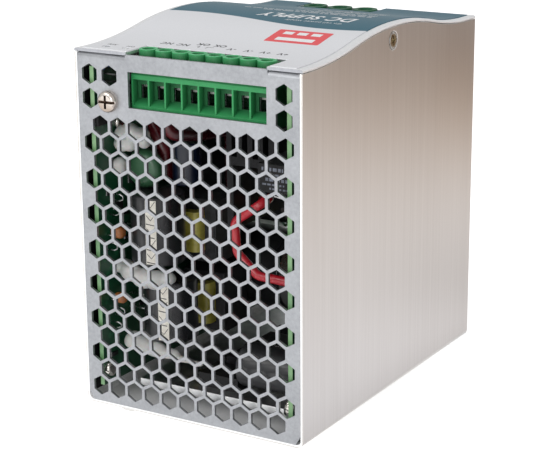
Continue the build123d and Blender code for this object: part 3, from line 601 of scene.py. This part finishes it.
def label_art():
    bm = words("DC SUPPLY", 54.8, 57.9, 8.4, 0.80, 0.18, bold=0.22)
    printed("print_title", bm, "print_white")
    bm = words("din rail power supply", 60.0, 51.4, 2.3, 1.0)
    printed("print_subtitle", bm, "print_white")
    rnd = random.Random(3)
    rows = []
    for y, x0, x1 in ((66.4, 30.0, 74.0), (68.6, 22.0, 74.0), (70.8, 40.0, 74.0), (75.2, 46.0, 74.0), (77.4, 38.0, 74.0), (79.6, 52.0, 74.0)):
        x = x1
        while x > x0 + 2:
            w = rnd.uniform(1.2, 4.2)
            rows.append((max(x0, x - w), x, y - 0.32, y + 0.32))
            x -= w + 0.7
    printed("print_rules", boxes(rows), "print_white")
    printed("print_patch", boxes([(54.2, 74.2, 28.9, 40.2)], 0.6), "print_red")
    sym = [(57.2, 71.2, 30.7, 33.3)] + [(57.2 + 5.2 * k, 60.8 + 5.2 * k, 36.1, 38.5) for k in range(3)]
    printed("print_patch_symbol", boxes(sym), "print_white", 0.04)
    marks = ["NC", "NC", "OK", "OK", "-V", "-V", "+V", "+V"]
    for i, t in enumerate(marks):
        cx = 20.7 + 0.3 + 6.35 * (i + 0.5) + (0.6 if i < 4 else 0.0)
        cy = 19.8 if i in (2, 3) else 17.4
        printed(f"print_out_{i + 1}", words(t, cx, cy, 3.1, 1.0, bold=0.09), "print_dark")
    printed("print_out_group", boxes([(36.4, 37.8, 17.0, 17.3), (37.5, 37.8, 15.6, 17.3), (40.4, 43.0, 17.0, 17.3), (40.4, 40.7, 15.6, 17.3)]), "print_dark")
    for i, t in enumerate(("L", "N")):
        printed(f"print_in_{i + 1}", words(t, (44.6, 34.1)[i], L - 18.6, 2.6, 1.0), "print_white")
    printed("print_in_earth", boxes([(22.2, 25.0, L - 18.8, L - 18.5), (22.7, 24.5, L - 18.0, L - 17.7), (23.2, 24.0, L - 17.2, L - 16.9), (23.45, 23.75, L - 20.6, L - 18.8)]), "print_white")
    printed("print_adjust", words("ADJ.", 8.6, 9.3, 2.2, 1.0, bold=0.02), "print_dark")
    printed("print_light", words("ON", 16.4, 8.8, 1.9, 1.0, bold=0.02), "print_dark")


label_art()


def lump(name, balls, mat="silicone", voxel=0.45):
    """Soft adhesive: overlapping ellipsoids (x, y, z, rx, ry, rz in case mm) melted into one skin."""
    bm = bmesh.new()
    rnd = random.Random(len(balls) * 7 + int(balls[0][0]))
    for x, y, z, rx, ry, rz in balls:
        got = bmesh.ops.create_icosphere(bm, subdivisions=3, radius=1.0)["verts"]
        ph = [rnd.uniform(0, 6.28) for _ in range(3)]
        for v in got:
            c = v.co
            k = 1 + 0.07 * math.sin(3.1 * c.x + ph[0]) * math.cos(2.7 * c.y + ph[1]) + 0.05 * math.sin(4.3 * c.z + ph[2])
            v.co = P(x + rx * c.x * k, y + ry * c.y * k, z + rz * c.z * k)
    me = bpy.data.meshes.new(name)
    bm.to_mesh(me)
    bm.free()
    me.materials.append(MAT[mat])
    o = bpy.data.objects.new(name, me)
    COL.objects.link(o)
    r = o.modifiers.new("melt", "REMESH")
    r.mode = "VOXEL"
    r.voxel_size = voxel / 1000
    r.use_smooth_shade = True
    m = o.modifiers.new("soften", "SMOOTH")
    m.factor = 0.6
    m.iterations = 6
    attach(o, "case")
    return o


def adhesive():
    lump("adhesive_upper", [(9.1, 12.4, 88.9, 2.9, 2.9, 2.8), (8.9, 12.6, 92.2, 2.7, 2.8, 3.0), (12.4, 12.4, 93.3, 3.6, 3.1, 3.3), (12.2, 12.2, 89.2, 2.8, 2.6, 2.4), (16.2, 12.6, 92.4, 3.5, 2.9, 2.9), (17.8, 12.8, 90.6, 2.5, 2.4, 2.3)])
    lump("adhesive_dome", [(8.2, 11.6, 81.6, 2.7, 2.8, 3.1), (6.8, 12.2, 81.2, 1.4, 2.6, 2.8)])
    lump("adhesive_middle", [(8.4, 11.5, 46.6, 3.4, 3.6, 2.6), (13.0, 9.8, 45.6, 4.4, 3.4, 3.2), (18.4, 9.0, 44.6, 4.8, 3.4, 3.6), (23.4, 9.0, 44.6, 4.0, 3.2, 3.4), (27.6, 10.4, 45.4, 2.8, 3.0, 2.4)])
    lump("adhesive_lower", [(12.4, 11.0, 20.6, 3.6, 3.4, 3.2), (17.6, 9.4, 20.4, 4.4, 3.4, 3.2), (23.0, 9.0, 19.8, 4.4, 3.2, 2.8), (28.0, 9.8, 19.0, 3.8, 2.6, 1.7), (33.0, 10.6, 17.6, 3.4, 2.0, 1.0), (37.6, 11.4, 16.6, 2.8, 1.6, 0.8)])


adhesive()


def can_stripe(name, cx, cy, r, z0, z1, a0, a1, marks):
    """Printed polarity stripe wrapped on a can; angles run from -Y towards +X, in degrees."""
    def at(a, z, lift):
        t = math.radians(a)
        return P(cx + (r + lift) * math.sin(t), cy - (r + lift) * math.cos(t), z)
    n = 10
    v, f = [], []
    for k in range(n + 1):
        a = a0 + (a1 - a0) * k / n
        v += [at(a, z0, 0.04), at(a, z1, 0.04)]
    for k in range(n):
        f.append((2 * k, 2 * k + 2, 2 * k + 3, 2 * k + 1))
    piece(name, v, f, "stripe_white")
    v, f = [], []
    h = (z1 - z0) / marks
    for m in range(marks):
        zc = z0 + h * (m + 0.5)
        for (aa, za), (ab, zb) in (((a0 + 2, zc + 1.5), ((a0 + a1) / 2, zc - 0.2)), (((a0 + a1) / 2, zc - 0.2), (a1 - 2, zc + 1.9)), ((a0 + 1, zc - 1.4), (a1 - 4, zc - 1.9))):
            for k in range(4):
                t0, t1 = k / 4, (k + 1) / 4
                p = len(v)
                for t in (t0, t1):
                    a, z = aa + (ab - aa) * t, za + (zb - za) * t
                    v += [at(a, z - 0.16, 0.07), at(a, z + 0.16, 0.07)]
                f.append((p, p + 2, p + 3, p + 1))
    piece(name + "_marks", v, f, "print_dark")


can_stripe("stripe_upper", 19.6, 16.8, 9.2, 50.0, 72.0, 8, 31, 5)
can_stripe("stripe_lower", 23.6, 17.6, 9.2, 23.6, 42.6, 6, 29, 4)


def block_print():
    """Worn rows of bars printed on the end face of the relay."""
    rnd = random.Random(21)
    v, f = [], []
    for z, x0, x1, h in ((88.9, 67.2, 76.6, 0.55), (87.2, 67.0, 74.2, 0.30), (85.6, 68.6, 77.4, 0.50), (84.0, 67.4, 75.4, 0.28), (82.7, 70.0, 77.0, 0.28)):
        x = x0
        while x < x1:
            w = rnd.uniform(0.5, 1.6)
            p = len(v)
            e = min(x + w, x1)
            v += [P(x, 5.95, z - h), P(e, 5.95, z - h), P(e, 5.95, z + h), P(x, 5.95, z + h)]
            f.append((p, p + 1, p + 2, p + 3))
            x += w + rnd.uniform(0.3, 0.6)
    piece("relay_print", v, f, "print_faint", smooth=False)


block_print()


def add_box(v, f, x0, x1, y0, y1, z0, z1, c=0.12):
    """Chamfered block, in case mm."""
    xs, ys, zs = (x0, x1), (y0, y1), (z0, z1)
    idx = {}
    for ax in range(3):
        for i in (0, 1):
            for j in (0, 1):
                for k in (0, 1):
                    p = [xs[i], ys[j], zs[k]]
                    s = [1 if q == 0 else -1 for q in (i, j, k)]
                    for q in range(3):
                        if q != ax:
                            p[q] += s[q] * c
                    idx[ax, i, j, k] = len(v)
                    v.append(P(*p))
    for ax in range(3):
        o = [q for q in range(3) if q != ax]
        for side in (0, 1):
            ring = []
            for a, b in ((0, 0), (1, 0), (1, 1), (0, 1)):
                t = [0, 0, 0]
                t[ax], t[o[0]], t[o[1]] = side, a, b
                ring.append(idx[(ax, *t)])
            flip = (side == 0) ^ (ax == 1)
            f.append(tuple(reversed(ring)) if flip else tuple(ring))
    for ax in range(3):
        o = [q for q in range(3) if q != ax]
        for a in (0, 1):
            for b in (0, 1):
                t0, t1 = [0, 0, 0], [0, 0, 0]
                t0[ax], t1[ax] = 0, 1
                t0[o[0]] = t1[o[0]] = a
                t0[o[1]] = t1[o[1]] = b
                f.append((idx[(o[0], *t0)], idx[(o[0], *t1)], idx[(o[1], *t1)], idx[(o[1], *t0)]))
    for i in (0, 1):
        for j in (0, 1):
            for k in (0, 1):
                f.append((idx[0, i, j, k], idx[1, i, j, k], idx[2, i, j, k]))


def outward(o):
    bm = bmesh.new()
    bm.from_mesh(o.data)
    bmesh.ops.recalc_face_normals(bm, faces=bm.faces)
    bm.to_mesh(o.data)
    bm.free()


def board_parts():
    """Small surface parts on the inner faces of the two side boards, with their solder."""
    rnd = random.Random(11)
    chips, pads = ([], []), ([], [])
    taken = {0: [], 1: []}
    keep = {0: [(4, 36, 18, 100)], 1: []}
    for side, face, sgn in ((0, 6.0, 1), (1, 78.9, -1)):
        for _ in range(150):
            y, z = rnd.uniform(4, 116), rnd.uniform(14, 112)
            dy, dz, h = rnd.choice(((1.6, 0.8, 0.5), (2.0, 1.25, 0.6), (3.2, 1.6, 0.7), (1.25, 2.0, 0.6), (5.0, 4.0, 1.5), (4.0, 2.6, 1.1)))
            spot = (y - dy / 2 - 0.6, y + dy / 2 + 0.6, z - dz / 2 - 0.6, z + dz / 2 + 0.6)
            if any(spot[0] < t[1] and spot[1] > t[0] and spot[2] < t[3] and spot[3] > t[2] for t in taken[side]):
                continue
            if side == 0 and (4 < y < 26 and (44 < z < 50 or 56 < z < 62 or 33 < z < 40 or 77 < z < 97 or 16 < z < 25)):
                continue
            if side == 1 and 3 < y < 30 and (79 < z < 93 or 10 < z < 30 or 47 < z < 55):
                continue
            if any(math.hypot(y - fy, z - fz) < 5 for fy, fz in ((5, 11.5), (118.5, 11.5), (14.5, 96), (110, 96))):
                continue
            if h > 1 and side == 0 and 55 < y < 95:
                continue
            taken[side].append(spot)
            x0, x1 = sorted((face, face + sgn * h))
            add_box(*chips, x0, x1, y - dy / 2, y + dy / 2, z - dz / 2, z + dz / 2)
            for e in (-1, 1):
                a, b = sorted((face, face + sgn * 0.28))
                add_box(*pads, a, b, y + e * dy / 2 - 0.32, y + e * dy / 2 + 0.32, z - dz / 2, z + dz / 2, 0.08)
    outward(piece("surface_parts", *chips, "black_resin", slot="black_resin", smooth=False))
    outward(piece("solder_joints", *pads, "solder", smooth=False))


board_parts()


def tube(v, f, pts, r, n=8):
    """Appends a round wire along the points (case mm)."""
    pts = [Vector(p) for p in pts]
    base = len(v)
    up = Vector((0.13, 0.31, 0.94))
    for i, p in enumerate(pts):
        d = (pts[min(i + 1, len(pts) - 1)] - pts[max(i - 1, 0)]).normalized()
        a = d.cross(up)
        if a.length < 0.1:
            a = d.cross(Vector((1, 0, 0)))
        a.normalize()
        b = d.cross(a)
        for k in range(n):
            t = 2 * math.pi * k / n
            q = p + a * (r * math.cos(t)) + b * (r * math.sin(t))
            v.append(P(*q))
    for i in range(len(pts) - 1):
        for k in range(n):
            f.append((base + i * n + k, base + i * n + (k + 1) % n, base + (i + 1) * n + (k + 1) % n, base + (i + 1) * n + k))
    f.append(tuple(base + k for k in reversed(range(n))))
    f.append(tuple(base + (len(pts) - 1) * n + k for k in range(n)))


def leads_and_turns():
    v, f = [], []
    # wire legs from the dipped disc, the small film parts and the cans to the left board
    for z in (77.6, 82.8):
        tube(v, f, [(8.4, 18.5, z), (7.2, 18.5, z - 0.3), (6.0, 18.5, z - 0.4)], 0.4)
    for z in (77.0, 80.5):
        tube(v, f, [(20.6, 28.9, z), (13.0, 28.9, z), (6.0, 28.9, z - 0.3)], 0.35)
    for y, z in ((6.6, 58.6), (8.4, 60.4), (6.6, 35.9), (8.2, 37.3)):
        tube(v, f, [(8.2, y, z), (7.0, y, z - 0.2), (6.0, y, z - 0.2)], 0.3)
    for x, y, zs in ((11.4, 17.0, (55, 60)), (15.2, 18.0, (30, 35))):
        for z in zs:
            tube(v, f, [(x, y, z), (6.0, y, z)], 0.35)
    # bent legs of small parts standing off the left board
    for y, z, h in ((8.2, 65.2, 2.6), (10.6, 69.6, 2.2), (6.6, 53.4, 2.4), (9.6, 29.4, 2.6), (7.4, 25.6, 2.0)):
        tube(v, f, [(6.0, y, z), (8.6, y, z), (9.5, y + 0.3, z + 0.5), (9.7, y + 0.4, z + h / 2), (9.5, y + 0.3, z + h - 0.5), (8.6, y, z + h), (6.0, y, z + h)], 0.28)
    for y0 in (9.5, 11.5):
        tube(v, f, [(67.5 + y0 / 4, y0, 81.4), (67.5 + y0 / 4, y0, 79.4), (78.9, y0, 78.2)], 0.4)
    outward(piece("part_leads", v, f, "solder"))
    # line choke: separate turns of enamelled wire round the ring
    v, f = [], []
    cx, cy, cz, ro, ri, h, w = 65.4, 100.0, 33.0, 11.5, 6.0, 11.0, 0.68
    for half, a0 in ((0, 12), (1, 192)):
        for k in range(19):
            a = math.radians(a0 + 156 * k / 18)
            pts = []
            for r, y in ((ro + w, -h / 2 + 0.9), (ro + w, h / 2 - 0.9), (ro - 0.5, h / 2 + w), (ri + 0.5, h / 2 + w), (ri - w, h / 2 - 0.9), (ri - w, -h / 2 + 0.9), (ri + 0.5, -h / 2 - w), (ro - 0.5, -h / 2 - w), (ro + w, -h / 2 + 0.9)):
                pts.append((cx + r * math.cos(a), cy + y, cz + r * math.sin(a)))
            tube(v, f, pts, 0.62, 7)
    o = piece("choke_turns", v, f, "enamelled_wire", slot="enamelled_wire")
    outward(o)
    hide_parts("toroid_windings")


leads_and_turns()


def coil_spring():
    """Latch spring: closed end coils, wound along Y, at one fixed length; the real spring shortens towards its post as
    the latch is pulled.
    """
    v, f = [], []
    n, turns, steps = 8, 9, 24

    def along(u):
        if u < 1:
            return 0.52 * u
        if u > turns - 1:
            return 12.3 - 0.52 * (turns - u)
        return 0.52 + (u - 1) * 11.26 / (turns - 2)

    for i in range(turns * steps + 1):
        u = i / steps
        a = 2 * math.pi * u
        rad = Vector((math.cos(a), 0, -math.sin(a)))
        q = Vector((W / 2, L / 2 + 5.3 + along(u), 5.15 - CLIP)) + rad * 1.25
        tan = Vector((-math.sin(a), 0.2, -math.cos(a))).normalized()
        b = tan.cross(rad)
        for k in range(n):
            t = 2 * math.pi * k / n
            v.append(P(*(q + rad * (0.24 * math.cos(t)) + b * (0.24 * math.sin(t)))))
    last = turns * steps
    for i in range(last):
        for k in range(n):
            f.append((i * n + k, i * n + (k + 1) % n, (i + 1) * n + (k + 1) % n, (i + 1) * n + k))
    f.append(tuple(reversed(range(n))))
    f.append(tuple(last * n + k for k in range(n)))
    o = piece("latch_spring_coil", v, f, "spring_steel", slot="spring_steel")
    outward(o)
    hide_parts("din_latch_spring")
    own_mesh(o)


coil_spring()


# ------------------------------------------------------------------ stage and light
def stage():
    me = bpy.data.meshes.new("floor")
    s = 6.0
    me.from_pydata([(-s, -s, 0), (s, -s, 0), (s, s, 0), (-s, s, 0)], [], [(0, 1, 2, 3)])
    o = bpy.data.objects.new("floor", me)
    o.location = (0, 0, -0.0002)
    COL.objects.link(o)
    me.materials.append(MAT["floor"])
    # graded card on the floor beyond the right side: it is only there for the brushed wall to mirror
    me = bpy.data.meshes.new("card")
    me.from_pydata([(0.046, -0.25, 0.001), (1.3, -0.25, 0.001), (1.3, 1.6, 0.001), (0.046, 1.6, 0.001)], [], [(0, 1, 2, 3)])
    c = bpy.data.objects.new("card", me)
    COL.objects.link(c)
    me.materials.append(MAT["card"])
    c.visible_camera = False
    c.visible_diffuse = False
    c.visible_transmission = False
    c.visible_shadow = False
    w = bpy.data.worlds.new("studio")
    SC.world = w
    w.use_nodes = True
    bg = w.node_tree.nodes["Background"]
    bg.inputs[0].default_value = (1.0, 1.0, 1.0, 1.0)
    bg.inputs[1].default_value = 0.70

    def area(name, loc, target, size, power, color=(1, 1, 1)):
        d = bpy.data.lights.new(name, "AREA")
        d.shape = "RECTANGLE"
        d.size, d.size_y = size
        d.energy = power
        d.color = color
        o = bpy.data.objects.new(name, d)
        COL.objects.link(o)
        o.location = loc
        v = Vector(target) - Vector(loc)
        o.rotation_euler = v.to_track_quat("-Z", "Y").to_euler()

    area("key", (-0.45, -0.85, 0.75), (0, 0, 0.07), (0.7, 0.6), 3.4, (1.0, 0.99, 0.98))
    area("front", (0.15, -1.1, 0.35), (0, 0, 0.05), (0.5, 0.5), 2.6, (1.0, 1.0, 1.0))
    SC.view_settings.view_transform = "Standard"


stage()
